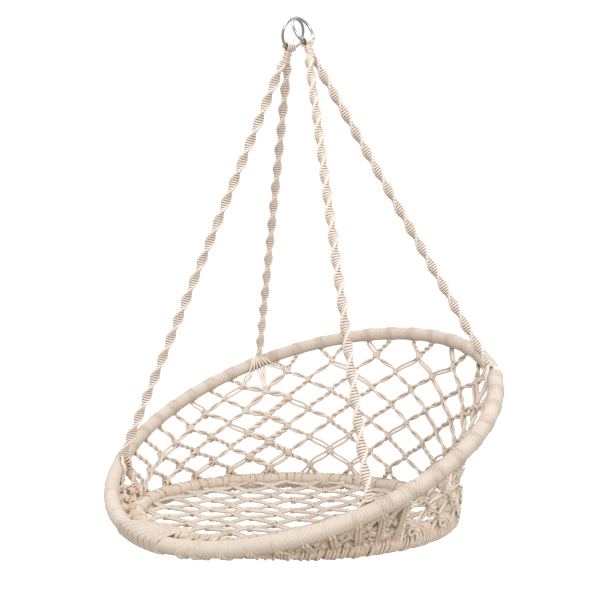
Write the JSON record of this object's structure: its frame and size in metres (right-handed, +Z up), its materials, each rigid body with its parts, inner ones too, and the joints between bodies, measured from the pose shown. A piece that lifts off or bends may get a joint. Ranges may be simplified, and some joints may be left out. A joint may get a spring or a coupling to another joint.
{
  "type": "hanging macrame swing chair",
  "caption": "Hanging net chair: tilted hoop back, level seat ring, knotted net and ropes up to paired steel rings; it swings fore and aft and the seat folds flat.",
  "frame": {"origin": "the point where the hook bears, under the tops of the two hanging rings", "axes": "+Z up; the sitter faces -Y; +X is the sitter's left"},
  "size_m": [0.7978, 0.7223, 0.9829],
  "materials": {
    "cotton_cord": "natural twisted cotton cord, matt and slightly fuzzy",
    "ring_chrome": "polished chrome plate",
    "tube_steel": "plain painted steel tube, hidden under the cord wrap"
  },
  "bodies": {
    "hanging_rings": {"hanging_ring_left": "ring_chrome", "hanging_ring_right": "ring_chrome"},
    "basket": {"front_lashing_left": "cotton_cord", "front_lashing_right": "cotton_cord", "hoop_lashing_back_left": "cotton_cord", "hoop_lashing_back_right": "cotton_cord", "hoop_lashing_front_left": "cotton_cord", "hoop_lashing_front_right": "cotton_cord", "hoop_spigot": "tube_steel", "hoop_tube": "tube_steel", "hoop_wrap_back": "cotton_cord", "hoop_wrap_front": "cotton_cord", "hoop_wrap_left": "cotton_cord", "hoop_wrap_right": "cotton_cord", "rope_core_back_left": "cotton_cord", "rope_core_back_right": "cotton_cord", "rope_core_front_left": "cotton_cord", "rope_core_front_right": "cotton_cord", "rope_head_left": "cotton_cord", "rope_head_right": "cotton_cord", "rope_knots_back_left": "cotton_cord", "rope_knots_back_right": "cotton_cord", "rope_knots_front_left": "cotton_cord", "rope_knots_front_right": "cotton_cord", "side_net_01": "cotton_cord", "side_net_02": "cotton_cord", "side_net_03": "cotton_cord", "side_net_04": "cotton_cord", "side_net_05": "cotton_cord", "side_net_06": "cotton_cord", "side_net_07": "cotton_cord", "side_net_08": "cotton_cord", "side_net_09": "cotton_cord", "side_net_10": "cotton_cord", "side_net_11": "cotton_cord", "side_net_12": "cotton_cord", "side_net_13": "cotton_cord", "side_net_14": "cotton_cord", "side_net_15": "cotton_cord", "side_net_16": "cotton_cord", "side_net_17": "cotton_cord", "side_net_18": "cotton_cord"},
    "seat": {"seat_net": "cotton_cord", "seat_ring_spigot": "tube_steel", "seat_ring_tube": "tube_steel", "seat_ring_wrap_back": "cotton_cord", "seat_ring_wrap_front": "cotton_cord", "seat_ring_wrap_left": "cotton_cord", "seat_ring_wrap_right": "cotton_cord"}
  },
  "joints": [
    {"name": "fore_aft_swing", "type": "hinge", "parent": "hanging_rings", "child": "basket", "pos_m": [0, 0, -0.02314], "axis": [1, 0, 0], "range_deg": [-20, 20]},
    {"name": "seat_fold", "type": "hinge", "parent": "basket", "child": "seat", "pos_m": [0, -0.30368, -0.95397], "axis": [1, 0, 0], "range_deg": [0, 25]}
  ]
}
